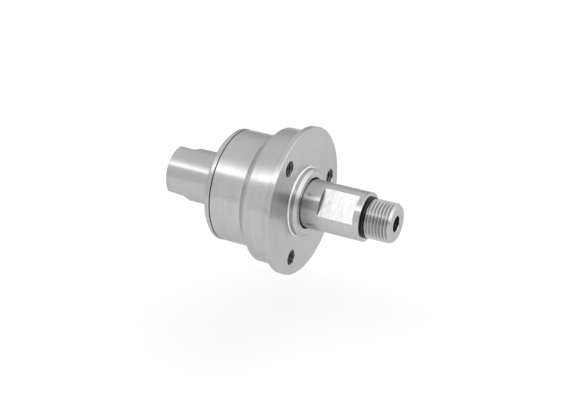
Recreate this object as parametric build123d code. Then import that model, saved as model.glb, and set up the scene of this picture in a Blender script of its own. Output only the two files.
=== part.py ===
from build123d import *

import math
import os

# Millimetres. The origin is the centre of the flange's front face, +X runs out along the
# shaft to the outlet thread and +Z is up. Positions along the axis are x, radii are r.

# Edge breaks and corner radii, from the finest to the boldest
hair = 0.1
light = 0.2
soft = 0.3
firm = 0.5

# Named clearances
fit_clearance = 0.05
ring_clearance = 0.02
ball_play = 0.02

# Flanged housing
flange_r = 39.3
flange_t = 3.3
shoulder_r = 35.9
shoulder_x = -15.9
body_r = 30.0
cone_end_x = -21.6
joint_x = -39.3
boss_r = 18.0
boss_front_x = 4.2
boss_chamfer = 1.6
lip_bore_gap = 0.66
base_fillet = 0.6

# Tapped holes in the flange
bolt_pcd = 60.0
bolt_count = 3
bolt_thread_r = 4.0
bolt_depth = 13.0
bolt_countersink = 0.35
bolt_first_angle = 1.9
drill_tip_angle = 118.0

# Rotating shaft
shaft_r = 12.9
shaft_shoulder_x = 36.8
shaft_bore_r = 4.15
shaft_flat_across = 21.0
shaft_flat_x = (13.9, 33.4)
shaft_flat_angle = 140.0
pipe_thread_r = 10.4775
thread_lead_in = 0.9
outlet_end_x = 52.2
outlet_undercut_r = 9.48
outlet_undercut_end_x = 38.35
outlet_ring_r = 0.75
journal_r = 12.5
collar_r = 14.5
collar_t = 1.6
shaft_end_x = -38.0

# Radial shaft seal. The lip's outline is depth behind the seal's face and height over the
# running radius, from the case's wall round the dust lip and the running edge.
seal_pocket_r = 18.5
seal_x = -0.6
seal_width = 5.0
seal_case_t = 0.8
seal_case_reach = 2.3
garter_wire_r = 0.6
garter_place = (3.4, 1.65)
lip_outline = (
    (0.8, 4.05), (0.8, 1.65), (0.3, 0.15), (0.7, 0.1), (1.9, 0.95), (3.1, 0.0), (4.2, 0.55),
    (4.6, 1.95), (4.3, 2.15), (3.9, 1.65), (2.9, 1.65), (2.4, 2.2), (2.2, 2.65), (2.2, 4.05),
)

# Deep groove ball bearings, two alike. The shares are of the height between bore and outside.
bearing_bore_r = journal_r
bearing_outer_r = 23.5
bearing_width = 12.0
front_bearing_x = -8.0
ball_count = 11
ball_share = 0.2887
shoulder_share = 0.205
shield_seat_share = 0.264
cage_share = 0.136
groove_conformity = 1.04
shield_t = 0.4
shield_inset = 0.7
shield_gap = 0.35
ring_corner = 0.6
cage_pocket_gap = 0.075
cage_x = (-4.3, 2.2)
cage_slit = (2.0, 1.6)
spacer_t = 1.0
spacer_relief = 0.75
shim_t = 0.5
shim_relief = 0.35

# Retention of the bearings on the shaft
washer_t = 1.0
washer_rim = 0.25
circlip_t = 1.2
circlip_play = 0.1
circlip_groove_depth = 0.55
circlip_rim = 2.55
circlip_lug_r = 2.1
circlip_hole_r = 0.85
circlip_gap_angle = 36.0
circlip_lug_angle = 26.0
circlip_low_angle = 270.0

# Inlet cover with its stub
cover_r = 30.1
cover_rim_x = -41.6
cover_back_x = -43.2
cover_thread_wall = 1.5
spigot_relief = 0.35
cover_cavity_r = 19.0
cover_cavity_x = -40.2
cover_groove_w = 1.9
joint_groove = (0.3, 0.6)
stub_r = 14.34
stub_end_x = -75.8
stub_flat_across = 25.0
stub_flat_x = -66.4
stub_flat_ramp = 1.8
stub_flat_angle = 56.0
stub_root_fillet = 1.0
port_depth = 14.0
port_lead_in = 0.8
chamber_r = 11.8
chamber_x = -53.0
tail_bore_x = -60.3
passage_r = 4.2

# Spring loaded face seal
seat_r = 9.4
seat_bore_r = 4.6
seat_x = (-32.6, -38.6)
seat_groove_x = (-35.0, -37.0)
face_r = 9.0
face_nose_r = 8.3
face_nose_t = 0.9
face_back_x = -43.0
face_groove_x = (-41.2, -42.6)
carrier_head_r = 11.3
carrier_head_x = (-40.9, -45.5)
carrier_tail_r = 7.0
carrier_end_x = -58.5
carrier_groove_x = (-54.6, -57.3)
backup_t = 1.0
small_ring_r = 0.71
face_ring_r = 0.49
spring_wire_r = 0.6
spring_r = 9.0
spring_turns = 4.0
spring_ground = 0.1
pin_r = 0.9
pin_circle_r = 10.75
pin_x = (-41.8, -56.0)
pin_slot_gap = 0.15
pin_slot_r = 9.6

# Sizes and positions that follow from those above
rear_bearing_x = front_bearing_x - bearing_width - spacer_t
stack_end_x = rear_bearing_x - bearing_width
spigot_x = stack_end_x - shim_t
circlip_x = stack_end_x - washer_t
circlip_r = journal_r - circlip_groove_depth
port_floor_x = stub_end_x + port_depth
lip_bore_r = shaft_r + lip_bore_gap
outlet_ring_mean_r = outlet_undercut_r + outlet_ring_r + ring_clearance
bearing_height = bearing_outer_r - bearing_bore_r
ball_pitch_r = bearing_bore_r + bearing_height / 2
ball_r = ball_share * bearing_height
race_groove_r = ball_r * groove_conformity
inner_shoulder_r = ball_pitch_r - shoulder_share * bearing_height
outer_shoulder_r = ball_pitch_r + shoulder_share * bearing_height
shield_seat_r = ball_pitch_r + shield_seat_share * bearing_height
cage_half_t = cage_share * bearing_height
cover_thread_r = bearing_outer_r + cover_thread_wall
cover_groove_r = cover_thread_r - 2 * small_ring_r - ring_clearance
tail_bore_r = carrier_tail_r + fit_clearance
seat_pocket_r = seat_r + fit_clearance
face_pocket_r = face_r + fit_clearance
seal_run_r = shaft_r + fit_clearance


def turned(corners):
    """Solid of revolution about X from (x, r) corners.

    A third value on a corner is a chamfer and a fourth value of True makes it a fillet.
    """
    spans = []
    n = len(corners)
    for i, corner in enumerate(corners):
        p = Vector(corner[0], corner[1])
        cut = corner[2] if len(corner) > 2 else 0.0
        rounded = len(corner) > 3 and corner[3]
        if cut == 0.0:
            spans.append((p, None, p))
            continue
        before = corners[i - 1]
        after = corners[(i + 1) % n]
        to_before = (Vector(before[0], before[1]) - p).normalized()
        to_after = (Vector(after[0], after[1]) - p).normalized()
        half = math.radians(to_before.get_angle(to_after)) / 2
        reach = cut / math.tan(half) if rounded else cut
        start = p + to_before * reach
        end = p + to_after * reach
        mid = None
        if rounded:
            inward = (to_before + to_after).normalized()
            mid = p + inward * (cut / math.sin(half) - cut)
        spans.append((start, mid, end))
    same_point = 1e-6
    edges = []
    for i, (start, mid, end) in enumerate(spans):
        if mid is not None:
            edges.append(ThreePointArc(start, mid, end))
        elif (end - start).length > same_point:
            edges.append(Line(start, end))
        following = spans[(i + 1) % n][0]
        if (following - end).length > same_point:
            edges.append(Line(end, following))
    return revolve(make_face(edges), Axis.X, 360)


def tube(x0, x1, r_in, r_out, bevel=0.0):
    """Plain ring between two positions with all four edges broken."""
    low, high = sorted((x0, x1))
    return turned([(low, r_in, bevel), (low, r_out, bevel), (high, r_out, bevel), (high, r_in, bevel)])


def at_angle(r, angle):
    """The (y, z) place at a radius and an angle in degrees about the axis."""
    a = math.radians(angle)
    return r * math.cos(a), r * math.sin(a)


def along_x(shape, x=0.0, r=0.0, angle=0.0):
    """Lay a shape made about Z along X, at a radius and an angle about the axis."""
    return Pos(x, *at_angle(r, angle)) * Rot(0, 90, 0) * shape


def o_ring(x, r_mean, section_r):
    """Ring of round section about the axis."""
    return along_x(Torus(r_mean, section_r), x)


def groove_ring(groove_x, wall_r, section_r):
    """Ring of round section in the middle of a groove, just clear of the wall around it."""
    return o_ring(sum(groove_x) / 2, wall_r - section_r - ring_clearance / 2, section_r)


def flat_cutter(across, angle, x_low, x_high, round_r, ramp=0.0):
    """Block that mills one wrench flat, with a ramped run-out at its x_high end."""
    half = across / 2
    top = round_r * 1.1
    slope = ramp * (top - half) / (round_r - half)
    outline = Polyline((x_low, half), (x_high, half), (x_high + slope, top), (x_low, top), close=True)
    block = extrude(make_face(outline), 2 * round_r, both=True)
    return Rot(angle, 0, 0) * block


def make_housing():
    """Flange, pilot boss, shoulder, cone and body in one turned piece with its inner bores."""
    thread_end_x = stack_end_x + spigot_relief
    body = turned([
        (boss_front_x, lip_bore_r, soft),
        (boss_front_x, boss_r, boss_chamfer),
        (0.0, boss_r, base_fillet, True),
        (0.0, flange_r, firm),
        (-flange_t, flange_r, soft),
        (-flange_t, shoulder_r, base_fillet, True),
        (shoulder_x, shoulder_r, light),
        (cone_end_x, body_r, soft, True),
        (joint_x, body_r, light),
        (joint_x, cover_thread_r, soft),
        (thread_end_x, cover_thread_r),
        (thread_end_x, bearing_outer_r, light),
        (front_bearing_x, bearing_outer_r, soft, True),
        (front_bearing_x, seal_pocket_r, soft),
        (seal_x, seal_pocket_r, soft, True),
        (seal_x, lip_bore_r, soft),
    ])
    tip = bolt_thread_r / math.tan(math.radians(drill_tip_angle / 2))
    mouth_r = bolt_thread_r + bolt_countersink
    drill = turned([
        (firm, 0.0),
        (firm, mouth_r),
        (0.0, mouth_r),
        (-bolt_countersink, bolt_thread_r),
        (-bolt_depth, bolt_thread_r),
        (-bolt_depth - tip, 0.0),
    ])
    for k in range(bolt_count):
        body -= Pos(0, *at_angle(bolt_pcd / 2, bolt_first_angle + 360.0 * k / bolt_count)) * drill
    return body


def make_shaft():
    """Through-bored shaft: outlet thread, wrench flats, seal journal, collar and bearing seat."""
    clip_end_x = circlip_x - circlip_t - circlip_play
    body = turned([
        (outlet_end_x, shaft_bore_r, soft),
        (outlet_end_x, pipe_thread_r, thread_lead_in),
        (outlet_undercut_end_x, pipe_thread_r, thread_lead_in),
        (outlet_undercut_end_x, outlet_undercut_r, light, True),
        (shaft_shoulder_x, outlet_undercut_r, light, True),
        (shaft_shoulder_x, shaft_r, soft),
        (front_bearing_x + collar_t, shaft_r),
        (front_bearing_x + collar_t, collar_r, soft),
        (front_bearing_x, collar_r, light),
        (front_bearing_x, journal_r),
        (circlip_x, journal_r),
        (circlip_x, circlip_r),
        (clip_end_x, circlip_r),
        (clip_end_x, journal_r),
        (shaft_end_x, journal_r, firm),
        (shaft_end_x, seat_pocket_r, soft),
        (seat_x[0], seat_pocket_r, light, True),
        (seat_x[0], shaft_bore_r, light),
    ])
    for side in (0.0, 180.0):
        body -= flat_cutter(shaft_flat_across, shaft_flat_angle + side, *shaft_flat_x, shaft_r)
    return body


def make_inlet_cover():
    """Screwed cover: threaded spigot, rim, stub with wrench flats, port and seal chamber."""
    groove_front_x = joint_x + cover_groove_w
    gap_w, gap_depth = joint_groove
    body = turned([
        (spigot_x, cover_cavity_r, soft),
        (spigot_x, cover_thread_r - fit_clearance, firm),
        (groove_front_x, cover_thread_r - fit_clearance, soft),
        (groove_front_x, cover_groove_r, light, True),
        (joint_x, cover_groove_r, light, True),
        (joint_x, cover_r - gap_depth),
        (joint_x - gap_w, cover_r - gap_depth),
        (joint_x - gap_w, cover_r, hair),
        (cover_rim_x, cover_r),
        (cover_back_x, cover_r + cover_back_x - cover_rim_x),
        (cover_back_x, stub_r, stub_root_fillet, True),
        (stub_end_x, stub_r, firm),
        (stub_end_x, pipe_thread_r, port_lead_in),
        (port_floor_x, pipe_thread_r, firm, True),
        (port_floor_x, passage_r, soft),
        (tail_bore_x, passage_r),
        (tail_bore_x, tail_bore_r, light, True),
        (chamber_x, tail_bore_r, firm),
        (chamber_x, chamber_r, soft, True),
        (cover_cavity_x, chamber_r, firm),
        (cover_cavity_x, cover_cavity_r, firm, True),
    ])
    pin_hole = Cylinder(pin_r, chamber_x - pin_x[1], align=(Align.CENTER, Align.CENTER, Align.MIN))
    for side in (0.0, 180.0):
        body -= flat_cutter(
            stub_flat_across, stub_flat_angle + side, stub_end_x - firm, stub_flat_x, stub_r, stub_flat_ramp
        )
        body -= along_x(pin_hole, pin_x[1], pin_circle_r, side)
    return body


def make_seal_case():
    """L-section steel case of the shaft seal."""
    back_x = seal_x - seal_width
    wall_x = seal_x - seal_case_t
    bore_r = seal_run_r + seal_case_reach
    inner_r = seal_pocket_r - seal_case_t
    return turned([
        (seal_x, bore_r, hair),
        (seal_x, seal_pocket_r, firm, True),
        (back_x, seal_pocket_r, soft),
        (back_x, inner_r, hair),
        (wall_x, inner_r, soft, True),
        (wall_x, bore_r, hair),
    ])


def seal_place(depth, height):
    """Place in the shaft seal behind its face and over its running radius."""
    return seal_x - depth, seal_run_r + height


def make_seal_lip():
    """Moulded lip with its dust lip and the groove for the garter spring."""
    return turned([seal_place(*corner) for corner in lip_outline])


def make_garter():
    """Garter spring that presses the lip to the shaft."""
    x, r = seal_place(*garter_place)
    return o_ring(x, r + garter_wire_r + ring_clearance, garter_wire_r)


def make_outer_ring(x):
    """Outer bearing ring with its raceway and the two shield seats."""
    back_x = x - bearing_width
    inset = shield_inset + shield_t
    ring = turned([
        (x, shield_seat_r + hair, hair),
        (x, bearing_outer_r, ring_corner, True),
        (back_x, bearing_outer_r, ring_corner, True),
        (back_x, shield_seat_r + hair, hair),
        (back_x + shield_inset, shield_seat_r),
        (back_x + inset, shield_seat_r),
        (back_x + inset, outer_shoulder_r, hair),
        (x - inset, outer_shoulder_r, hair),
        (x - inset, shield_seat_r),
        (x - shield_inset, shield_seat_r),
    ])
    groove = Torus(ball_pitch_r + ball_r + ball_play - race_groove_r, race_groove_r)
    return ring - along_x(groove, x - bearing_width / 2)


def make_inner_ring(x):
    """Inner bearing ring with its raceway."""
    back_x = x - bearing_width
    ring = turned([
        (x, bearing_bore_r, ring_corner, True),
        (x, inner_shoulder_r, soft),
        (back_x, inner_shoulder_r, soft),
        (back_x, bearing_bore_r, ring_corner, True),
    ])
    groove = Torus(ball_pitch_r - ball_r - ball_play + race_groove_r, race_groove_r)
    return ring - along_x(groove, x - bearing_width / 2)


def make_balls(x):
    """Full set of balls on the pitch circle."""
    middle = x - bearing_width / 2
    places = [at_angle(ball_pitch_r, 360.0 * k / ball_count) for k in range(ball_count)]
    return Compound(children=[Pos(middle, *place) * Sphere(ball_r) for place in places])


def make_cage(x):
    """Moulded crown cage, open on one side, with a radial pocket for each ball."""
    middle = x - bearing_width / 2
    ring = tube(
        middle + cage_x[0], middle + cage_x[1], ball_pitch_r - cage_half_t, ball_pitch_r + cage_half_t, light
    )
    through = 4 * cage_half_t
    slit_w, slit_depth = cage_slit
    pocket = Rot(90, 0, 0) * Cylinder(ball_r + cage_pocket_gap, through)
    slit = Pos(cage_x[1], 0, 0) * Box(2 * slit_depth, through, slit_w)
    for k in range(ball_count):
        ring -= Rot(360.0 * k / ball_count, 0, 0) * Pos(middle, ball_pitch_r, 0) * pocket
        ring -= Rot(360.0 * (k + 0.5) / ball_count, 0, 0) * Pos(middle, ball_pitch_r, 0) * slit
    return ring


def make_shields(x):
    """Pair of pressed steel shields with broken edges."""
    pair = []
    for face, out in ((x, 1.0), (x - bearing_width, -1.0)):
        outer = face - out * shield_inset
        pair.append(tube(outer, outer - out * shield_t, inner_shoulder_r + shield_gap, shield_seat_r, hair))
    return Compound(children=pair)


def make_circlip():
    """External retaining ring, open at the bottom between two drilled lugs."""
    ring = tube(circlip_x, circlip_x - circlip_t, circlip_r, circlip_r + circlip_rim)
    reach = 2 * journal_r
    side = reach * math.tan(math.radians(circlip_gap_angle / 2))
    wedge = extrude(make_face(Polyline((0, 0), (reach, side), (reach, -side), close=True)), reach, both=True)
    ring -= Pos(circlip_x, 0, 0) * Rot(0, 90, 0) * wedge
    lug = Cylinder(circlip_lug_r, circlip_t, align=(Align.CENTER, Align.CENTER, Align.MAX))
    drill = Cylinder(circlip_hole_r, 4 * circlip_t)
    lug_angles = [circlip_low_angle + side * circlip_lug_angle for side in (-1, 1)]
    for angle in lug_angles:
        ring += along_x(lug, circlip_x, circlip_r + circlip_lug_r, angle)
    for angle in lug_angles:
        ring -= along_x(drill, circlip_x, circlip_r + circlip_lug_r, angle)
    return ring


def make_seat_ring():
    """Hard seat ring that turns with the shaft."""
    groove_r = seat_pocket_r - 2 * small_ring_r - ring_clearance
    return turned([
        (seat_x[0], seat_bore_r, light),
        (seat_x[0], seat_r, soft),
        (seat_groove_x[0], seat_r, hair),
        (seat_groove_x[0], groove_r, light, True),
        (seat_groove_x[1], groove_r, light, True),
        (seat_groove_x[1], seat_r, hair),
        (seat_x[1], seat_r, soft),
        (seat_x[1], seat_bore_r, light),
    ])


def make_face_ring():
    """Carbon face ring with a stepped nose."""
    front = seat_x[1]
    groove_r = face_pocket_r - 2 * face_ring_r - ring_clearance
    return turned([
        (front, seat_bore_r, hair),
        (front, face_nose_r, hair),
        (front - face_nose_t, face_nose_r),
        (front - face_nose_t, face_r, light),
        (face_groove_x[0], face_r),
        (face_groove_x[0], groove_r, hair, True),
        (face_groove_x[1], groove_r, hair, True),
        (face_groove_x[1], face_r),
        (face_back_x, face_r, hair),
        (face_back_x, seat_bore_r, light),
    ])


def make_carrier():
    """Floating carrier: pocketed head with two drive slots and a grooved tail."""
    groove_r = tail_bore_r - 2 * small_ring_r - ring_clearance
    body = turned([
        (carrier_head_x[0], face_pocket_r, light),
        (carrier_head_x[0], carrier_head_r, soft),
        (carrier_head_x[1], carrier_head_r, soft),
        (carrier_head_x[1], carrier_tail_r, firm, True),
        (carrier_groove_x[0], carrier_tail_r, hair),
        (carrier_groove_x[0], groove_r, light, True),
        (carrier_groove_x[1], groove_r, light, True),
        (carrier_groove_x[1], carrier_tail_r, hair),
        (carrier_end_x, carrier_tail_r, soft),
        (carrier_end_x, passage_r, soft),
        (face_back_x, passage_r, light),
        (face_back_x, face_pocket_r, hair, True),
    ])
    slot_depth = carrier_head_r - pin_slot_r
    slot = Box(2 * (carrier_head_x[0] - carrier_head_x[1]), 4 * slot_depth, 2 * (pin_r + pin_slot_gap))
    for side in (-1, 1):
        body -= Pos(sum(carrier_head_x) / 2, side * (pin_slot_r + 2 * slot_depth), 0) * slot
    return body


def make_spring():
    """Helical compression spring with ground ends between the chamber floor and the head."""
    length = carrier_head_x[1] - chamber_x
    pitch = (length + 2 * spring_ground) / spring_turns
    path = Helix(pitch, pitch * spring_turns, spring_r)
    wire = sweep((path ^ 0) * Circle(spring_wire_r), path=path, is_frenet=True)
    keep = tube(chamber_x, carrier_head_x[1], spring_r - 2 * spring_wire_r, spring_r + 2 * spring_wire_r)
    return along_x(wire, chamber_x - spring_ground) & keep


def make_pins():
    """Two pins that stop the carrier turning."""
    blank = Cylinder(pin_r, pin_x[0] - pin_x[1], align=(Align.CENTER, Align.CENTER, Align.MIN))
    pin = chamfer(blank.edges(), light)
    return Compound(children=[along_x(pin, pin_x[1], pin_circle_r, side) for side in (0.0, 180.0)])


def build_parts():
    """Every separate piece by its node name."""
    spacer_x = (front_bearing_x - bearing_width, rear_bearing_x)
    outlet_groove_x = (shaft_shoulder_x, outlet_undercut_end_x)
    cover_groove_x = (joint_x, joint_x + cover_groove_w)
    backup_x = (carrier_groove_x[0] - ring_clearance, carrier_groove_x[0] - backup_t)
    backup_r = (tail_bore_r - 2 * small_ring_r, tail_bore_r - ring_clearance)
    parts = {
        "housing": make_housing(),
        "shaft": make_shaft(),
        "inlet_cover": make_inlet_cover(),
        "outlet_o_ring": o_ring(sum(outlet_groove_x) / 2, outlet_ring_mean_r, outlet_ring_r),
        "shaft_seal_case": make_seal_case(),
        "shaft_seal_lip": make_seal_lip(),
        "shaft_seal_spring": make_garter(),
        "inner_spacer": tube(*spacer_x, bearing_bore_r, inner_shoulder_r - spacer_relief, hair),
        "outer_spacer": tube(*spacer_x, outer_shoulder_r + spacer_relief, bearing_outer_r, hair),
        "support_washer": tube(stack_end_x, circlip_x, journal_r, inner_shoulder_r + washer_rim, hair),
        "retaining_ring": make_circlip(),
        "bearing_shim": tube(stack_end_x, spigot_x, outer_shoulder_r + shim_relief, bearing_outer_r, hair),
        "cover_o_ring": groove_ring(cover_groove_x, cover_thread_r, small_ring_r),
        "seal_seat_ring": make_seat_ring(),
        "seal_seat_o_ring": groove_ring(seat_groove_x, seat_pocket_r, small_ring_r),
        "seal_face_ring": make_face_ring(),
        "seal_face_o_ring": groove_ring(face_groove_x, face_pocket_r, face_ring_r),
        "seal_carrier": make_carrier(),
        "seal_backup_ring": tube(*backup_x, *backup_r, hair),
        "seal_carrier_o_ring": groove_ring((backup_x[1], carrier_groove_x[1]), tail_bore_r, small_ring_r),
        "seal_spring": make_spring(),
        "anti_rotation_pins": make_pins(),
    }
    for name, x in (("front", front_bearing_x), ("rear", rear_bearing_x)):
        parts[f"{name}_bearing_outer_ring"] = make_outer_ring(x)
        parts[f"{name}_bearing_inner_ring"] = make_inner_ring(x)
        parts[f"{name}_bearing_balls"] = make_balls(x)
        parts[f"{name}_bearing_cage"] = make_cage(x)
        parts[f"{name}_bearing_shields"] = make_shields(x)
    return parts


os.makedirs("parts", exist_ok=True)
for node, shape in build_parts().items():
    export_step(shape, f"parts/{node}.step")
    print(node, round(shape.volume, 2), len(shape.solids()))
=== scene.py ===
import logging
import math
from dataclasses import dataclass, field
from enum import Enum

import bmesh
import bpy
import numpy as np
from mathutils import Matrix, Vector


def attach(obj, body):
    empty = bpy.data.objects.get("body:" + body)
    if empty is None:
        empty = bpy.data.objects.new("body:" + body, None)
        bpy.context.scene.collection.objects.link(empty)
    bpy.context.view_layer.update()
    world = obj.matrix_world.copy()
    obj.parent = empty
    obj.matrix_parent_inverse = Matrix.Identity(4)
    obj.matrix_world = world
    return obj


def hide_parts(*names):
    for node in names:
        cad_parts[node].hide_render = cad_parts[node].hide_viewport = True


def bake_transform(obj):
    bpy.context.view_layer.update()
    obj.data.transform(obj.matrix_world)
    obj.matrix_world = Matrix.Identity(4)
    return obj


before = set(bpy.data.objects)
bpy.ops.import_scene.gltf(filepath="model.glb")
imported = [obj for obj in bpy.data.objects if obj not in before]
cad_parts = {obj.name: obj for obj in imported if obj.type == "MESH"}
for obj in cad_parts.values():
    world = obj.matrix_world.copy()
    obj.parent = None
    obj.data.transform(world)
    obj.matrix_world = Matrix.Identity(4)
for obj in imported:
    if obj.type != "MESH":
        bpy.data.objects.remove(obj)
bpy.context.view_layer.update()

MM = 0.001
NEAR = 0.05  # Millimetres within which a face counts as lying on a plane.
ON_FLAT = 0.995  # Least cosine between a wrench flat's face and the flat's normal.
ON_STEP = 0.9  # Least cosine between an end wall's face and the X axis.
LEAST_COSINE = 0.05  # Keeps a flat's radius finite a quarter turn from its normal.
SMOOTH_WIRE = 60.0  # Degrees below which a ring or a wire shades as round.
FILLET_SPANS = 6
LOG = logging.getLogger("rotary_union")
Corner = tuple[float, ...]
Span = tuple[float, float]


class Body(Enum):
    """The rigid bodies of the frame that visible pieces ride on."""

    HOUSING = "housing"
    SHAFT = "shaft"
    SEAL = "floating_seal"


def unit(vector: np.ndarray) -> np.ndarray:
    """Return the vector at length one."""
    return vector / np.linalg.norm(vector)


def corner_points(before: Corner, corner: Corner, after: Corner) -> np.ndarray:
    """Points that cut one corner of an outline.

    A chamfer runs straight between two points at the cut's distance from the corner. A fillet is
    the arc of the cut's radius that touches both sides, at equal angles about its centre.

    Args:
        before: The corner ahead of this one, as (x, r).
        corner: This corner, as (x, r, cut) or (x, r, cut, True) for a fillet.
        after: The corner that follows.

    Returns:
        An array of (x, r) rows.
    """
    here = np.array(corner[:2])
    if len(corner) < 3:
        return here[None]
    cut = corner[2]
    back = unit(np.array(before[:2]) - here)
    ahead = unit(np.array(after[:2]) - here)
    if len(corner) < 4:
        return np.array([here + back * cut, here + ahead * cut])
    half = math.acos(float(np.clip(back @ ahead, -1.0, 1.0))) / 2
    centre = here + unit(back + ahead) * cut / math.sin(half)
    first = here + back * cut / math.tan(half) - centre
    last = here + ahead * cut / math.tan(half) - centre
    sweep = math.pi - 2 * half
    share = np.linspace(0.0, 1.0, FILLET_SPANS + 1)[:, None]
    arc = (np.sin((1 - share) * sweep) * first + np.sin(share * sweep) * last) / math.sin(sweep)
    return centre + arc


def outline(corners: list[Corner]) -> np.ndarray:
    """Rows of (x, r) along a turned outline, with every corner between its ends cut.

    Args:
        corners: Corners in order, each (x, r), (x, r, chamfer) or (x, r, radius, True).

    Returns:
        An array of (x, r) rows.
    """
    cuts = [corner_points(*three) for three in zip(corners, corners[1:], corners[2:])]
    return np.concatenate([np.array([corners[0][:2]]), *cuts, np.array([corners[-1][:2]])])


def revolve(x: np.ndarray, r: np.ndarray, theta: np.ndarray) -> np.ndarray:
    """Grid of points (x, r cos theta, r sin theta) about the X axis.

    Args:
        x: Positions, one per row or one per point.
        r: Radii, one per row or one per point.
        theta: Angles, one per column or one per point.

    Returns:
        An array of shape (rows, columns, 3).
    """
    columns = [values if values.ndim == 2 else values[:, None] for values in (x, r)]
    xx, rr, tt = np.broadcast_arrays(*columns, np.atleast_2d(theta))
    return np.stack([xx, rr * np.cos(tt), rr * np.sin(tt)], axis=-1)


def angles(breaks: list[float], counts: list[int]) -> np.ndarray:
    """Angles of a full turn that fall exactly on the given breaks.

    Args:
        breaks: Break angles in degrees, rising, all within one turn of the first.
        counts: Spans between each break and the next, the last back to the first.

    Returns:
        Angles in radians, the first repeated one turn on at the end.
    """
    ends = breaks[1:] + [breaks[0] + 360.0]
    runs = [np.linspace(a, b, n, endpoint=False) for a, b, n in zip(breaks, ends, counts)]
    return np.radians(np.concatenate(runs + [np.array([breaks[0] + 360.0])]))


def flat_angles(angle: float, half: float, radius: float, spans: tuple[int, int]) -> np.ndarray:
    """Angles of a full turn that fall exactly on the edges of two wrench flats.

    Args:
        angle: Angle of one flat's normal about X, in degrees.
        half: Distance of each flat from the axis.
        radius: Radius of the round piece that they are cut in.
        spans: Spans across a flat, and from it round to the next.

    Returns:
        Angles in radians, the first repeated one turn on at the end.
    """
    reach = math.degrees(math.acos(half / radius))
    breaks = [angle + turn + side for turn in (0.0, 180.0) for side in (-reach, reach)]
    return angles(breaks, [*spans, *spans])


def flat_radius(angle: float, half: float | np.ndarray, theta: np.ndarray) -> np.ndarray:
    """Radius of two wrench flats about X: half over the cosine of the angle from their normal."""
    return half / np.maximum(np.abs(np.cos(theta - math.radians(angle))), LEAST_COSINE)


@dataclass(frozen=True)
class Thread:
    """A screw thread about an axis along X, as a rounded ridge that climbs one pitch a turn.

    Attributes:
        pitch: Distance between crests.
        outer: Radius at the outside of the ridge.
        inner: Radius at the bottom of the valley.
        samples: Rows in one pitch.
        flank: How straight the flanks are, from 0 for a cosine to 1 for a sharp edge.
    """

    pitch: float
    outer: float
    inner: float
    samples: int = 12
    flank: float = 0.97

    def grid(self, start: float, end: float, theta: np.ndarray) -> tuple[np.ndarray, np.ndarray]:
        """Positions and radii of the thread between two planes.

        Row i and column j lie at x = u_i + pitch theta_j / 2 pi, held between the planes, so the
        rows follow the helix. The radius is the middle plus half the depth times a wave of the
        row's phase: arcsin(k cos phase) / arcsin k, straight flanks with round crests for k near 1.

        Args:
            start: Lower plane.
            end: Upper plane.
            theta: Angles, one per column.

        Returns:
            Two arrays of shape (rows, columns), x and r.
        """
        turn = (theta - theta[0]) / (2 * math.pi)
        step = self.pitch / self.samples
        rows = int(math.ceil((end - start) / step)) + self.samples + 1
        u = start - self.pitch + step * np.arange(rows + 1)
        x = u[:, None] + self.pitch * turn[None, :]
        phase = 2 * math.pi * (u - start)[:, None] / self.pitch
        middle = (self.outer + self.inner) / 2
        half = (self.outer - self.inner) / 2
        wave = np.arcsin(self.flank * np.cos(phase)) / math.asin(self.flank)
        r = middle + half * wave + 0.0 * x
        return np.clip(x, start, end), r


class Surface:
    """Grids of quads gathered into one closed mesh."""

    def __init__(self, name: str) -> None:
        """Start an empty surface.

        Args:
            name: The name of the piece that it becomes.
        """
        self.name = name
        self.points: list[np.ndarray] = []
        self.quads: list[np.ndarray] = []
        self.count = 0

    def add(self, grid: np.ndarray) -> None:
        """Add a grid as quads between neighbours.

        Args:
            grid: Points in millimetres, of shape (rows, columns, 3).
        """
        rows, columns = grid.shape[:2]
        index = np.arange(rows * columns).reshape(rows, columns) + self.count
        quads = np.stack([index[:-1, :-1], index[:-1, 1:], index[1:, 1:], index[1:, :-1]], axis=-1)
        self.points.append(grid.reshape(-1, 3) * MM)
        self.quads.append(quads.reshape(-1, 4))
        self.count += rows * columns

    def build(self, sharp: float = 24.0, merge: float = 2e-6) -> bpy.types.Object:
        """Merge the grids where they meet, close them and turn them outwards.

        Args:
            sharp: Angle in degrees above which an edge shades as a corner.
            merge: Distance in metres within which points become one.

        Returns:
            The new object, at the origin.
        """
        mesh = bpy.data.meshes.new(self.name)
        mesh.from_pydata(np.concatenate(self.points), [], np.concatenate(self.quads))
        shell = bmesh.new()
        shell.from_mesh(mesh)
        bmesh.ops.remove_doubles(shell, verts=shell.verts, dist=merge)
        bmesh.ops.dissolve_degenerate(shell, edges=shell.edges, dist=merge)
        bmesh.ops.recalc_face_normals(shell, faces=shell.faces)
        shell.to_mesh(mesh)
        shell.free()
        mesh.polygons.foreach_set("use_smooth", np.ones(len(mesh.polygons), dtype=bool))
        mesh.set_sharp_from_angle(angle=math.radians(sharp))
        piece = bpy.data.objects.new(self.name, mesh)
        bpy.context.scene.collection.objects.link(piece)
        return piece


def face_places(piece: bpy.types.Object) -> tuple[np.ndarray, np.ndarray]:
    """Find where a piece's faces are and which way they look.

    Args:
        piece: The piece.

    Returns:
        Centres in millimetres and normals, one row a face.
    """
    mesh = piece.data
    centres = np.empty(len(mesh.polygons) * 3)
    normals = np.empty(len(mesh.polygons) * 3)
    mesh.polygons.foreach_get("center", centres)
    mesh.polygons.foreach_get("normal", normals)
    return centres.reshape(-1, 3) / MM, normals.reshape(-1, 3)


def paint(piece: bpy.types.Object, chosen: np.ndarray, material: bpy.types.Material) -> None:
    """Give some of a piece's faces one more material.

    Args:
        piece: The piece.
        chosen: True for each face that takes the material.
        material: The material, which gets the piece's next slot.
    """
    slots = np.zeros(len(chosen), dtype=np.int32)
    piece.data.polygons.foreach_get("material_index", slots)
    slots[chosen] = len(piece.data.materials)
    piece.data.materials.append(material)
    piece.data.polygons.foreach_set("material_index", slots)


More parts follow.
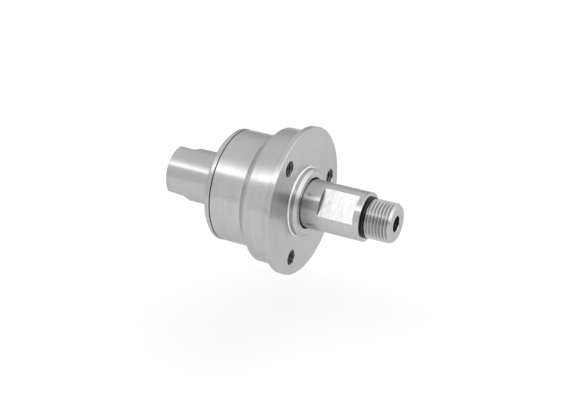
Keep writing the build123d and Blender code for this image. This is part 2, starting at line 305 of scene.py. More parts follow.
def place(piece: bpy.types.Object, body: Body, nodes: list[str]) -> None:
    """Let a piece ride on its body and stand for its solids.

    Args:
        piece: The finished piece.
        body: The body that carries it.
        nodes: Names of the solids that it stands for.
    """
    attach(piece, body.value)
    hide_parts(*nodes)
    LOG.info("%s: %d faces on %s", piece.name, len(piece.data.polygons), body.value)


class Graph:
    """A short way to write shader node trees."""

    def __init__(self, tree: bpy.types.NodeTree) -> None:
        """Work on one node tree."""
        self.tree = tree

    def node(self, kind: str, values: dict | None = None, **settings: object) -> bpy.types.Node:
        """Add a node.

        Args:
            kind: The node's type name.
            values: Values or sockets for its inputs, by name or number.
            settings: Properties of the node itself.

        Returns:
            The new node.
        """
        made = self.tree.nodes.new(kind)
        for key, value in settings.items():
            setattr(made, key, value)
        for key, value in (values or {}).items():
            self.feed(made.inputs[key], value)
        return made

    def feed(self, socket: bpy.types.NodeSocket, value: object) -> None:
        """Link a socket to another, or set its value.

        Args:
            socket: The input.
            value: The output to link it to, or a plain value.
        """
        if isinstance(value, bpy.types.NodeSocket):
            self.tree.links.new(value, socket)
        else:
            socket.default_value = value

    def math(self, operation: str, *inputs: object) -> bpy.types.NodeSocket:
        """Add a Math node and return its result."""
        return self.node("ShaderNodeMath", dict(enumerate(inputs)), operation=operation).outputs[0]

    def vector(self, operation: str, *inputs: object) -> bpy.types.Node:
        """Add a Vector Math node and return it."""
        return self.node("ShaderNodeVectorMath", dict(enumerate(inputs)), operation=operation)

    def noise(
        self, vector: object, scale: float, detail: float = 2.0, rough: float = 0.5
    ) -> bpy.types.NodeSocket:
        """Add a noise texture and return its value."""
        values = {"Vector": vector, "Scale": scale, "Detail": detail, "Roughness": rough}
        return self.node("ShaderNodeTexNoise", values).outputs["Fac"]

    def span(
        self, value: object, low: float, high: float, to_low: float, to_high: float
    ) -> bpy.types.NodeSocket:
        """Map a value from one range to another, held at the ends."""
        values = {"Value": value, "From Min": low, "From Max": high, "To Min": to_low, "To Max": to_high}
        return self.node("ShaderNodeMapRange", values).outputs["Result"]

    def sweep(self, angle: object, ends: Span, low: float, high: float) -> bpy.types.NodeSocket:
        """Map an angle, between two ends in degrees, to a value held at the ends."""
        return self.span(angle, *map(math.radians, ends), low, high)

    def mix(self, factor: object, first: object, second: object) -> bpy.types.NodeSocket:
        """Mix two colours.

        Args:
            factor: Share of the second colour.
            first: The first colour.
            second: The second colour.

        Returns:
            The mixed colour's socket.
        """
        made = self.node("ShaderNodeMix", data_type="RGBA")
        self.feed(made.inputs["Factor"], factor)
        self.feed(made.inputs["A"], first)
        self.feed(made.inputs["B"], second)
        return made.outputs["Result"]

    def bump(self, shader: bpy.types.Node, height: object, depth: float, strength: float) -> None:
        """Roughen a shader's surface.

        Args:
            shader: The shader.
            height: Height from 0 to 1.
            depth: Depth of a full height, in millimetres.
            strength: How strongly it shows.
        """
        values = {"Height": height, "Distance": depth * MM, "Strength": strength}
        self.feed(shader.inputs["Normal"], self.node("ShaderNodeBump", values).outputs[0])


def group(
    name: str, inputs: list[tuple[str, str, object]], outputs: list[tuple[str, str]]
) -> tuple[Graph, bpy.types.Node, bpy.types.Node]:
    """Start a shader node group with named sockets.

    Args:
        name: The group's name.
        inputs: Name, socket type and default of each input.
        outputs: Name and socket type of each output.

    Returns:
        The group's graph, its input node and its output node.
    """
    tree = bpy.data.node_groups.new(name, "ShaderNodeTree")
    for label, kind, default in inputs:
        socket = tree.interface.new_socket(label, in_out="INPUT", socket_type=kind)
        socket.default_value = default
    for label, kind in outputs:
        tree.interface.new_socket(label, in_out="OUTPUT", socket_type=kind)
    graph = Graph(tree)
    return graph, graph.node("NodeGroupInput"), graph.node("NodeGroupOutput")


class Effects:
    """Surface effects that several finishes share, each a node group built once."""

    def __init__(self) -> None:
        """Build the groups."""
        self.turning = self.build_turning()
        self.handling = self.build_handling()

    @staticmethod
    def build_turning() -> bpy.types.NodeTree:
        """Rings that a lathe tool leaves: noise over the position along X and the radius alone.

        Returns:
            The group, with outputs Height and Shade.
        """
        graph, given, result = group(
            "turning_marks",
            [("Fine", "NodeSocketFloat", 2600.0), ("Broad", "NodeSocketFloat", 420.0),
             ("Wander", "NodeSocketFloat", 18.0)],
            [("Height", "NodeSocketFloat"), ("Shade", "NodeSocketFloat")],
        )
        spot = graph.node("ShaderNodeTexCoord").outputs["Object"]
        axes = graph.node("ShaderNodeSeparateXYZ", {"Vector": spot}).outputs
        squares = [graph.math("MULTIPLY", axes[name], axes[name]) for name in ("Y", "Z")]
        radius = graph.math("SQRT", graph.math("ADD", *squares))
        around = graph.math("MULTIPLY", graph.math("ADD", axes["Y"], axes["Z"]), given.outputs["Wander"])
        heights = []
        for label, detail in (("Fine", 1.0), ("Broad", 2.0)):
            rate = given.outputs[label]
            rings = graph.node("ShaderNodeCombineXYZ", {
                "X": graph.math("MULTIPLY", axes["X"], rate),
                "Y": graph.math("MULTIPLY", radius, rate),
                "Z": around,
            }).outputs[0]
            heights.append(graph.noise(rings, 1.0, detail))
        shares = [graph.math("MULTIPLY", height, share) for height, share in zip(heights, (0.6, 0.4))]
        height = graph.math("ADD", *shares)
        graph.feed(result.inputs["Height"], height)
        graph.feed(result.inputs["Shade"], heights[1])
        return graph.tree

    @staticmethod
    def build_handling() -> bpy.types.NodeTree:
        """Soft cloudy stains and faint rubbed spots from handling.

        Returns:
            The group, with the output Mask from 0 for clean to 1 for dull.
        """
        graph, given, result = group(
            "handling_marks", [("Size", "NodeSocketFloat", 90.0)], [("Mask", "NodeSocketFloat")]
        )
        spot = graph.node("ShaderNodeTexCoord").outputs["Object"]
        scaled = graph.vector("SCALE", spot)
        graph.feed(scaled.inputs["Scale"], given.outputs["Size"])
        cloud = graph.noise(scaled.outputs[0], 1.0, 4.0, 0.6)
        graph.feed(result.inputs["Mask"], graph.span(cloud, 0.35, 0.7, 0.0, 1.0))
        return graph.tree


def new_material(name: str) -> tuple[bpy.types.Material, Graph, bpy.types.Node]:
    """Start a material.

    Args:
        name: The material's name.

    Returns:
        The material, its graph and its Principled node.
    """
    material = bpy.data.materials.new(name)
    material.use_nodes = True
    graph = Graph(material.node_tree)
    return material, graph, material.node_tree.nodes["Principled BSDF"]


def grey(level: float) -> tuple[float, float, float, float]:
    """Return a neutral colour."""
    return (level, level, level, 1.0)


@dataclass(frozen=True)
class TurnedSteel:
    """Stainless steel off the lathe, with rings around the X axis.

    Attributes:
        name: The material's name.
        level: Reflectance of the clean metal.
        roughness: Roughness along the rings.
        spread: How much wider the gloss is across the rings.
        depth: Depth of the rings in millimetres.
        stained: Share of the level left under a stain.
        ringed: Share of the level left in a dark ring.
        edge: Tint of the metal at a grazing angle.
    """

    name: str
    level: float = 0.52
    roughness: float = 0.27
    spread: float = 0.9
    depth: float = 0.0014
    stained: float = 0.93
    ringed: float = 0.86
    edge: float = 0.75

    def build(self, effects: Effects) -> bpy.types.Material:
        """Make the material.

        Args:
            effects: The shared surface effects.

        Returns:
            The new material.
        """
        material, graph, shader = new_material(self.name)
        marks = graph.node("ShaderNodeGroup", node_tree=effects.turning).outputs
        stain = graph.node("ShaderNodeGroup", node_tree=effects.handling).outputs["Mask"]
        half_stain = graph.math("MULTIPLY", stain, 0.5)
        tone = graph.mix(half_stain, grey(self.level), grey(self.level * self.stained))
        dark_ring = graph.span(marks["Shade"], 0.3, 0.7, 0.0, 0.25)
        tone = graph.mix(dark_ring, tone, grey(self.level * self.ringed))
        graph.feed(shader.inputs["Base Color"], tone)
        rough = graph.span(marks["Shade"], 0.25, 0.75, self.roughness - 0.03, self.roughness + 0.05)
        rough = graph.math("ADD", rough, graph.math("MULTIPLY", stain, 0.03))
        graph.feed(shader.inputs["Roughness"], rough)
        shader.inputs["Metallic"].default_value = 1.0
        shader.inputs["Specular Tint"].default_value = grey(self.edge)
        shader.inputs["Anisotropic"].default_value = self.spread
        shader.inputs["Anisotropic Rotation"].default_value = 0.25
        tangent = graph.node("ShaderNodeTangent", direction_type="RADIAL", axis="X")
        graph.feed(shader.inputs["Tangent"], tangent.outputs[0])
        graph.bump(shader, marks["Height"], self.depth, 0.5)
        return material


@dataclass(frozen=True)
class MilledSteel:
    """A milled flat, with fine crossing scratches and a cloudy rub.

    Attributes:
        name: The material's name.
        level: Reflectance of the clean metal.
        roughness: Roughness of the flat.
        angle: Turn of the flat's normal about X, in degrees.
        strokes: Turn and rate of each set of scratches.
        stretch: Rates off the flat and along the scratches, per metre.
        cloud: Rate of the cloudy rub per metre.
        rubbed: Share of the level left where the flat is rubbed.
        scratched: Share of the level left in a scratch.
        depth: Depth of the scratches in millimetres.
        edge: Tint of the metal at a grazing angle.
    """

    name: str
    level: float
    roughness: float
    angle: float
    strokes: tuple[Span, ...] = ((0.5, 2200.0), (-0.7, 1500.0), (1.3, 1800.0))
    stretch: Span = (200.0, 90.0)
    cloud: float = 420.0
    rubbed: float = 0.84
    scratched: float = 0.62
    depth: float = 0.002
    edge: float = 0.75

    def build(self, effects: Effects) -> bpy.types.Material:
        """Make the material.

        Args:
            effects: The shared surface effects.

        Returns:
            The new material.
        """
        material, graph, shader = new_material(self.name)
        spot = graph.node("ShaderNodeTexCoord").outputs["Object"]
        tilt = (-math.radians(self.angle), 0.0, 0.0)
        laid = graph.node("ShaderNodeMapping", {"Vector": spot, "Rotation": tilt}).outputs[0]
        heights = []
        for turn, rate in self.strokes:
            values = {"Vector": laid, "Rotation": (0.0, turn, 0.0), "Scale": (rate, *self.stretch)}
            heights.append(graph.noise(graph.node("ShaderNodeMapping", values).outputs[0], 1.0, 2.0))
        height = graph.math("ADD", graph.math("ADD", heights[0], heights[1]), heights[2])
        rub = graph.node("ShaderNodeGroup", {"Size": self.cloud}, node_tree=effects.handling)
        tone = graph.mix(rub.outputs["Mask"], grey(self.level), grey(self.level * self.rubbed))
        scratch = graph.span(height, 1.25, 1.75, 0.45, 0.0)
        tone = graph.mix(scratch, tone, grey(self.level * self.scratched))
        graph.feed(shader.inputs["Base Color"], tone)
        rough = graph.span(height, 1.2, 1.8, self.roughness + 0.08, self.roughness - 0.03)
        graph.feed(shader.inputs["Roughness"], rough)
        shader.inputs["Metallic"].default_value = 1.0
        shader.inputs["Specular Tint"].default_value = grey(self.edge)
        graph.bump(shader, height, self.depth, 0.4)
        return material


@dataclass(frozen=True)
class PlainFinish:
    """A hidden or small piece's finish, with a fine grain.

    Attributes:
        name: The material's name.
        colour: Base colour.
        metallic: 1 for metal, 0 for the rest.
        roughness: Middle roughness.
        grain: Rate of the grain per metre.
        depth: Depth of the grain in millimetres.
        gloss: Specular level.
        stained: Share of the colour left under a stain.
    """

    name: str
    colour: tuple[float, float, float, float]
    metallic: float
    roughness: float
    grain: float = 900.0
    depth: float = 0.003
    gloss: float = 0.5
    stained: float = 0.8

    def build(self, effects: Effects) -> bpy.types.Material:
        """Make the material.

        Args:
            effects: The shared surface effects.

        Returns:
            The new material.
        """
        material, graph, shader = new_material(self.name)
        spot = graph.node("ShaderNodeTexCoord").outputs["Object"]
        grain = graph.noise(spot, self.grain, 3.0, 0.55)
        stain = graph.node("ShaderNodeGroup", node_tree=effects.handling).outputs["Mask"]
        dark = tuple(channel * self.stained for channel in self.colour[:3]) + (1.0,)
        tone = graph.mix(graph.math("MULTIPLY", stain, 0.6), self.colour, dark)
        graph.feed(shader.inputs["Base Color"], tone)
        rough = graph.span(grain, 0.3, 0.7, self.roughness - 0.05, self.roughness + 0.08)
        graph.feed(shader.inputs["Roughness"], rough)
        shader.inputs["Metallic"].default_value = self.metallic
        shader.inputs["Specular IOR Level"].default_value = self.gloss
        graph.bump(shader, grain, self.depth, 0.4)
        return material


@dataclass
class Finishes:
    """Every finish of the part, built once."""

    effects: Effects = field(default_factory=Effects)

    def __post_init__(self) -> None:
        """Build the materials."""
        shaft = TurnedSteel("ground_steel_shaft", roughness=0.2, spread=0.75, depth=0.001)
        # Bright steel that paints a highlight onto the fillet at the boss's foot.
        fillet = TurnedSteel("painted_highlight_fillet", level=0.92, roughness=0.42, spread=0.5)
        black = (0.006, 0.006, 0.007, 1.0)
        rubber = PlainFinish("black_seal_rubber", black, 0.0, 0.17, grain=600.0, depth=0.002, gloss=0.3)
        cage = PlainFinish("cage_polyamide", (0.12, 0.125, 0.1, 1.0), 0.0, 0.5)
        backup = PlainFinish("backup_ring_polymer", (0.74, 0.71, 0.64, 1.0), 0.0, 0.45)
        effects = self.effects
        self.housing = TurnedSteel("turned_steel_housing").build(effects)
        self.cover = TurnedSteel("turned_steel_cover", roughness=0.31).build(effects)
        self.shaft = shaft.build(effects)
        self.shaft_flat = MilledSteel("milled_shaft_flat", 0.7, 0.3, Shaft.flat_angle).build(effects)
        self.cover_flat = MilledSteel("milled_stub_flat", 0.5, 0.3, InletCover.flat_angle).build(effects)
        self.painted_highlight = fillet.build(effects)
        # Dark steel that paints shade into the tapped holes, the joint's relief and the flats' end walls.
        self.painted_shade = PlainFinish("painted_shade_steel", grey(0.1), 1.0, 0.22).build(effects)
        self.rubber = rubber.build(effects)
        self.bearing = PlainFinish("ground_bearing_steel", grey(0.62), 1.0, 0.16).build(effects)
        self.pressed = PlainFinish("pressed_sheet_steel", grey(0.5), 1.0, 0.32).build(effects)
        self.spring = PlainFinish("spring_steel", grey(0.34), 1.0, 0.36).build(effects)
        self.cage = cage.build(effects)
        self.backup = backup.build(effects)
        self.carbon = PlainFinish("carbon_graphite", grey(0.03), 0.0, 0.42).build(effects)
        self.seat = PlainFinish("hard_seat_ceramic", grey(0.2), 0.0, 0.2).build(effects)


@dataclass
class Housing:
    """Flanged housing: boss, flange with tapped holes, shoulder, cone, body and inner bores."""

    flange_r: float = 39.3
    flange_t: float = 3.3
    shoulder_r: float = 35.9
    shoulder_x: float = -15.9
    body_r: float = 30.0
    cone_end_x: float = -21.6
    joint_x: float = -39.3
    boss_r: float = 18.0
    boss_front_x: float = 4.2
    boss_chamfer: float = 1.6
    lip_bore_r: float = 13.56
    base_fillet: float = 0.6
    edge_break: float = 0.25
    cover_bore_r: float = 25.0
    bearing_bore_r: float = 23.5
    bearing_x: Span = (-8.0, -32.4)
    seal_pocket_r: float = 18.5
    seal_x: float = -0.6
    bolt_circle_r: float = 30.0
    bolt_count: int = 3
    bolt_first_angle: float = 1.9
    bolt_thread: Thread = Thread(pitch=1.25, outer=4.0, inner=3.35, samples=8)
    countersink: float = 0.35
    thread_depth: float = 11.5
    drill_depth: float = 13.0
    drill_tip: float = 1.9
    run_out: float = 0.9
    recess_x: float = -0.2
    arc_spans: int = 64
    side_spans: int = 12
    face_spans: int = 6
    crowding: float = 1.3

    def wall_corners(self) -> list[Corner]:
        """Outline from the flange face's rim round the back and the bores to the boss's foot.

        Returns:
            The outline's corners.
        """
        face_outer = self.flange_r - self.edge_break
        return [
            (0.0, face_outer),
            (-self.edge_break, self.flange_r),
            (-self.flange_t, self.flange_r, 0.3),
            (-self.flange_t, self.shoulder_r, self.base_fillet, True),
            (self.shoulder_x, self.shoulder_r, 0.25),
            (self.cone_end_x, self.body_r, 0.3, True),
            (self.joint_x, self.body_r, 0.25),
            (self.joint_x, self.cover_bore_r, 0.4),
            (self.bearing_x[1], self.cover_bore_r),
            (self.bearing_x[1], self.bearing_bore_r, 0.3),
            (self.bearing_x[0], self.bearing_bore_r, 0.3, True),
            (self.bearing_x[0], self.seal_pocket_r, 0.4),
            (self.seal_x, self.seal_pocket_r, 0.3, True),
            (self.seal_x, self.lip_bore_r, 0.3),
            (self.boss_front_x, self.lip_bore_r, 0.3),
            (self.boss_front_x, self.boss_r, self.boss_chamfer),
            (0.0, self.boss_r, self.base_fillet, True),
            (0.0, self.boss_r + self.base_fillet + 0.01),
        ]

    def sector_edge(self, inner: float, outer: float) -> tuple[np.ndarray, np.ndarray]:
        """Edge of one third of the flange face, once round.

        Args:
            inner: Radius at the boss's foot.
            outer: Radius at the flange's rim.

        Returns:
            Angles from the hole's own angle, in radians, and radii, the first repeated at the end.
        """
        half = math.pi / self.bolt_count
        arc = np.linspace(half, -half, self.arc_spans + 1)
        side = np.linspace(outer, inner, self.side_spans + 1)
        sides = np.full(self.side_spans, -half), np.full(self.side_spans + 1, half)
        arcs = np.full(self.arc_spans, outer), np.full(self.arc_spans, inner)
        turn = np.concatenate([arc[:-1], sides[0], arc[::-1][:-1], sides[1]])
        r = np.concatenate([arcs[0], side[:-1], arcs[1], side[::-1]])
        return turn, r

    def hole(self, surface: Surface, angle: float, inner: float, outer: float) -> None:
        """Face around one tapped hole, and the hole.

        The face blends, in angle and radius about the part's axis, from the hole's rim to the edge
        of its third of the flange. The hole is a countersink, a thread, a drilled end and its tip.

        Args:
            surface: The surface that takes the grids.
            angle: The hole's angle about the axis, in radians.
            inner: Radius of the face at the boss's foot.
            outer: Radius of the face at the flange's rim.
        """
        thread = self.bolt_thread
        turn, r = self.sector_edge(inner, outer)
        rim_r = thread.outer + self.countersink
        about = np.unwrap(np.arctan2(r - self.bolt_circle_r, turn * self.bolt_circle_r))
        across = rim_r * np.cos(about)
        along = self.bolt_circle_r + rim_r * np.sin(about)
        rim_turn = np.arctan2(across, along)
        rim = np.hypot(across, along)
        share = np.linspace(0.0, 1.0, self.face_spans + 1)[:, None] ** self.crowding
        face_turn = angle + (1 - share) * rim_turn + share * turn
        face_r = (1 - share) * rim + share * r
        surface.add(revolve(0.0 * face_r, face_r, face_turn))
        start = -self.thread_depth
        x, wall = thread.grid(start, 0.0, about)
        run_out = thread.inner + np.clip(start + self.run_out - x, 0.0, None)
        wall = np.maximum(np.maximum(wall, rim_r + x), run_out)
        drill_r = thread.inner + 0.05
        end = outline([
            (start, float(wall[x <= start].max())),
            (start, drill_r),
            (-self.drill_depth, drill_r),
            (-self.drill_depth - self.drill_tip, 0.0),
        ])
        centre = self.bolt_circle_r * np.array([0.0, math.cos(angle), math.sin(angle)])
        for xs, rs in ((x, wall), (end[:, 0], end[:, 1])):
            surface.add(centre + revolve(xs, rs, angle + math.pi / 2 - about))

    def build(self, finishes: Finishes) -> None:
        """Build and dress the housing.

        Args:
            finishes: The part's finishes.
        """
        surface = Surface("housing_shell")
        wall = outline(self.wall_corners())
        first = self.bolt_first_angle
        pitch = 360.0 / self.bolt_count
        breaks = [first + pitch * (k - 0.5) for k in range(self.bolt_count)]
        theta = angles(breaks, [self.arc_spans] * self.bolt_count)
        surface.add(revolve(wall[:, 0], wall[:, 1], theta))
        for k in range(self.bolt_count):
            self.hole(surface, math.radians(first + pitch * k), float(wall[-1, 1]), float(wall[0, 1]))
        piece = surface.build()
        piece.data.materials.append(finishes.housing)
        self.paint_faces(piece, finishes)
        place(piece, Body.HOUSING, ["housing"])

    def paint_faces(self, piece: bpy.types.Object, finishes: Finishes) -> None:
        """Paint shade into the tapped holes' walls with dark steel, and a highlight onto the boss's foot
        with bright steel.

        Args:
            piece: The housing's shell.
            finishes: The part's finishes.
        """
        centres, _ = face_places(piece)
        x = centres[:, 0]
        deep = (x < self.recess_x) & (x > -self.drill_depth - self.drill_tip)
        walls = np.zeros(len(x), dtype=bool)
        for k in range(self.bolt_count):
            angle = math.radians(self.bolt_first_angle + 360.0 * k / self.bolt_count)
            hub = self.bolt_circle_r * np.array([math.cos(angle), math.sin(angle)])
            walls |= deep & (np.linalg.norm(centres[:, 1:] - hub, axis=1) < self.bolt_thread.outer + 0.1)
        # Painted shade: the holes' walls take the dark steel.
        paint(piece, walls, finishes.painted_shade)
        # Painted highlight: the fillet at the boss's foot takes the bright steel.
        r = np.linalg.norm(centres[:, 1:], axis=1)
        foot = (x > 0.001) & (x < self.base_fillet) & (r > self.boss_r + 0.001)
        paint(piece, foot, finishes.painted_highlight)


@dataclass
class InletCover:
    """Screwed rear cover with its stub, wrench flats, port thread and seal chamber."""

    rim_r: float = 30.1
    joint_x: float = -39.3
    rim_x: float = -41.6
    back_x: float = -43.2
    spigot_x: float = -33.5
    spigot_r: float = 24.95
    groove_x: float = -37.4
    groove_r: float = 23.55
    cavity_r: float = 19.0
    cavity_x: float = -40.2
    stub_r: float = 14.34
    end_x: float = -75.8
    joint_groove: Span = (0.42, 0.6)
    flat_half: float = 12.5
    flat_x: float = -66.4
    flat_ramp: float = 1.8
    port: Thread = Thread(pitch=1.814, outer=10.4775, inner=9.316, samples=10)
    port_lead_in: float = 0.8
    port_relief: Span = (2.2, 1.0)
    port_floor_x: float = -61.8
    passage_r: float = 4.2
    tail_bore_x: float = -60.3
    tail_bore_r: float = 7.05
    chamber_x: float = -53.0
    chamber_r: float = 11.8
    flat_spans: tuple[int, int] = (26, 74)
    ramp_spans: int = 8
    flat_angle: float = 56.0

    def corners(self) -> list[Corner]:
        """Outline from the port's mouth over the stub and rim, through the bores, to its floor.

        Returns:
            The outline's corners.
        """
        gap_w, gap_depth = self.joint_groove
        return [
            (self.end_x, self.port.outer + self.port_lead_in),
            (self.end_x, self.stub_r, 0.5),
            (self.back_x, self.stub_r, 1.0, True),
            (self.back_x, self.rim_r + self.back_x - self.rim_x),
            (self.rim_x, self.rim_r),
            (self.joint_x - gap_w, self.rim_r, 0.1),
            (self.joint_x - gap_w, self.rim_r - gap_depth),
            (self.joint_x, self.rim_r - gap_depth),
            (self.joint_x, self.groove_r, 0.2, True),
            (self.groove_x, self.groove_r, 0.2, True),
            (self.groove_x, self.spigot_r, 0.3),
            (self.spigot_x, self.spigot_r, 0.5),
            (self.spigot_x, self.cavity_r, 0.4),
            (self.cavity_x, self.cavity_r, 0.8, True),
            (self.cavity_x, self.chamber_r, 0.5),
            (self.chamber_x, self.chamber_r, 0.3, True),
            (self.chamber_x, self.tail_bore_r, 0.5),
            (self.tail_bore_x, self.tail_bore_r, 0.2, True),
            (self.tail_bore_x, self.passage_r),
            (self.port_floor_x, self.passage_r, 0.4),
            (self.port_floor_x, self.port.outer),
        ]

    def build(self, finishes: Finishes) -> None:
        """Build and dress the cover.

        The stub's radius is held to the flats' own, whose half width grows along the run-out.

        Args:
            finishes: The part's finishes.
        """
        surface = Surface("inlet_cover_shell")
        theta = flat_angles(self.flat_angle, self.flat_half, self.stub_r, self.flat_spans)
        rows = outline(self.corners())
        run = np.linspace(self.flat_x, self.flat_x + self.flat_ramp, self.ramp_spans + 1)
        stub = np.flatnonzero(rows[:, 1] == self.stub_r)[0]
        ramp = np.column_stack([run, np.full(len(run), self.stub_r)])
        rows = np.insert(rows, stub + 1, ramp, axis=0)
        x = rows[:, :1] + 0.0 * theta
        r = rows[:, 1:] + 0.0 * theta
        rise = np.clip((rows[:, :1] - self.flat_x) / self.flat_ramp, 0.0, 1.0)
        half = self.flat_half + rise * (self.stub_r - self.flat_half)
        flat = flat_radius(self.flat_angle, half, theta)
        on_stub = (rows[:, :1] < self.flat_x + self.flat_ramp) & (rows[:, 1:] > self.port.outer + 1.0)
        outside = np.arange(len(rows))[:, None] < stub + len(run) + 2
        surface.add(revolve(x, np.where(on_stub & outside, np.minimum(r, flat), r), theta))
        surface.add(self.port_grid(theta))
        piece = surface.build()
        piece.data.materials.append(finishes.cover)
        paint_flats(piece, self.flat_angle, self.flat_half, (self.end_x, self.flat_x), finishes.cover_flat)
        self.paint_joint(piece, finishes)
        place(piece, Body.HOUSING, ["inlet_cover"])

    def port_grid(self, theta: np.ndarray) -> np.ndarray:
        """Inlet port's thread, with a lead-in at its mouth and a relief at its floor.

        The radius is the thread's, or the lead-in's cone or the relief's where that is larger.

        Args:
            theta: Angles, one per column.

        Returns:
            A grid of points.
        """
        x, r = self.port.grid(self.end_x, self.port_floor_x, theta)
        before, plain = self.port_relief
        widest = self.port.outer + self.port_lead_in
        mouth = widest - (x - self.end_x)
        relief = self.port.inner + np.clip(x - (self.port_floor_x - before), 0.0, None)
        r = np.minimum(np.maximum(np.maximum(r, mouth), relief), widest)
        return revolve(x, np.where(x > self.port_floor_x - plain, self.port.outer, r), theta)

    def paint_joint(self, piece: bpy.types.Object, finishes: Finishes) -> None:
        """Paint shade into the relief at the joint line, with the dark steel that stands for shade.

        Args:
            piece: The cover's shell.
            finishes: The part's finishes.
        """
        centres, _ = face_places(piece)
        x = centres[:, 0]
        width, depth = self.joint_groove
        near = (x > self.joint_x - width - 0.01) & (x < self.joint_x - 0.01)
        high = np.linalg.norm(centres[:, 1:], axis=1) > self.rim_r - depth - NEAR
        paint(piece, near & high, finishes.painted_shade)


def paint_flats(
    piece: bpy.types.Object, angle: float, half: float, ends: Span, material: bpy.types.Material
) -> None:
    """Give the two wrench flats a finish of their own.

    Args:
        piece: The piece.
        angle: Angle of one flat's normal about X, in degrees.
        half: Distance of each flat from the axis, in millimetres.
        ends: The flats' ends along X, in millimetres.
        material: The flats' finish.
    """
    centres, normals = face_places(piece)
    facing = np.array([0.0, math.cos(math.radians(angle)), math.sin(math.radians(angle))])
    level = np.abs(np.abs(centres @ facing) - half) < NEAR
    inside = (centres[:, 0] > ends[0] - NEAR) & (centres[:, 0] < ends[1] + NEAR)
    paint(piece, level & inside & (np.abs(normals @ facing) > ON_FLAT), material)


@dataclass
class Shaft:
    """Bored shaft: outlet thread, undercut, wrench flats, journal, collar and bearing seat."""

    radius: float = 12.9
    shoulder_x: float = 36.8
    bore_r: float = 4.15
    flat_half: float = 10.5
    flat_x: Span = (13.9, 33.4)
    thread: Thread = Thread(pitch=1.814, outer=10.4775, inner=9.316, samples=14)
    end_x: float = 52.2
    undercut_r: float = 9.48
    undercut_x: float = 38.35
    collar_x: Span = (-6.4, -8.0)
    collar_r: float = 14.5
    journal_r: float = 12.5
    clip_x: float = -34.0
    clip_t: float = 1.3
    clip_r: float = 11.95
    rear_x: float = -38.0
    seat_r: float = 9.45
    seat_x: float = -32.6
    fade: float = 1.6
    flat_spans: tuple[int, int] = (40, 56)
    flat_angle: float = 140.0

    def corners(self, foot: float) -> list[Corner]:
        """Outline from the thread's inner end back over the shaft and out through the bore.

        Args:
            foot: Radius at the thread's outer end.

        Returns:
            The outline's corners.
        """
        return [
            (self.undercut_x, self.undercut_r),
            (self.shoulder_x, self.undercut_r, 0.2, True),
            (self.shoulder_x, self.radius, 0.3),
            (self.flat_x[1], self.radius),
            (self.flat_x[0], self.radius),
            (self.collar_x[0], self.radius),
            (self.collar_x[0], self.collar_r, 0.3),
            (self.collar_x[1], self.collar_r, 0.2),
            (self.collar_x[1], self.journal_r),
            (self.clip_x, self.journal_r),
            (self.clip_x, self.clip_r),
            (self.clip_x - self.clip_t, self.clip_r),
            (self.clip_x - self.clip_t, self.journal_r),
            (self.rear_x, self.journal_r, 0.6),
            (self.rear_x, self.seat_r, 0.4),
            (self.seat_x, self.seat_r, 0.2, True),
            (self.seat_x, self.bore_r, 0.2),
            (self.end_x, self.bore_r, 0.3),
            (self.end_x, foot),
        ]

    def build(self, finishes: Finishes) -> None:
        """Build and dress the shaft.

        Between the flats' end planes the radius is held to their own. The thread fades into a
        cone at each of its ends.

        Args:
            finishes: The part's finishes.
        """
        surface = Surface("shaft_turned")
        theta = flat_angles(self.flat_angle, self.flat_half, self.radius, self.flat_spans)
        foot = self.thread.inner - 0.1
        rows = outline(self.corners(foot))
        at = [int(np.flatnonzero(rows[:, 0] == x)[0]) for x in self.flat_x[::-1]]
        rows = np.insert(rows, [at[0] + 1, at[1]], rows[at], axis=0)
        cut = np.zeros(len(rows), dtype=bool)
        cut[at[0] + 1:at[1] + 2] = True
        flat = flat_radius(self.flat_angle, self.flat_half, theta)
        x = rows[:, :1] + 0.0 * theta
        r = rows[:, 1:] + 0.0 * theta
        surface.add(revolve(x, np.where(cut[:, None], np.minimum(r, flat), r), theta))
        thread_x, thread_r = self.thread.grid(self.undercut_x, self.end_x, theta)
        inner_cone = self.undercut_r + self.fade * (thread_x - self.undercut_x)
        outer_cone = foot + (self.end_x - thread_x)
        ridge = np.minimum(np.minimum(thread_r, inner_cone), outer_cone)
        ridge = np.where(thread_x <= self.undercut_x, self.undercut_r, ridge)
        surface.add(revolve(thread_x, ridge, theta))
        piece = surface.build()
        piece.data.materials.append(finishes.shaft)
        paint_flats(piece, self.flat_angle, self.flat_half, self.flat_x, finishes.shaft_flat)
        self.paint_steps(piece, finishes)
        place(piece, Body.SHAFT, ["shaft"])

    def paint_steps(self, piece: bpy.types.Object, finishes: Finishes) -> None:
        """Paint shade onto the flats' end walls, with the dark steel that stands for shade.

        Args:
            piece: The shaft.
            finishes: The part's finishes.
        """
        centres, normals = face_places(piece)
        at_end = np.min(np.abs(centres[:, :1] - np.array(self.flat_x)), axis=1) < NEAR
        inside = np.linalg.norm(centres[:, 1:], axis=1) < self.radius
        paint(piece, at_end & inside & (np.abs(normals[:, 0]) > ON_STEP), finishes.painted_shade)


@dataclass
class OutletRing:
    """Round-section rubber ring in the undercut at the shaft's shoulder."""

    x: float = 37.575
    mean_r: float = 10.25
    section_r: float = 0.75
    flash: float = 0.02
    flash_power: int = 40
    around_spans: int = 144
    section_spans: int = 48

    def build(self, finishes: Finishes) -> None:
        """Build and dress the ring.

        The section is a circle with a fine moulding ridge, a narrow cosine power, at its outermost
        and innermost points.

        Args:
            finishes: The part's finishes.
        """
        surface = Surface("outlet_ring_moulded")
        around = np.linspace(0.0, 2 * math.pi, self.around_spans + 1)
        about = np.linspace(0.0, 2 * math.pi, self.section_spans + 1)
        section = self.section_r - self.flash + self.flash * np.abs(np.cos(about)) ** self.flash_power
        x = self.x + section * np.sin(about)
        surface.add(revolve(x, self.mean_r + section * np.cos(about), around))
        piece = surface.build(SMOOTH_WIRE)
        piece.data.materials.append(finishes.rubber)
        place(piece, Body.SHAFT, ["outlet_o_ring"])


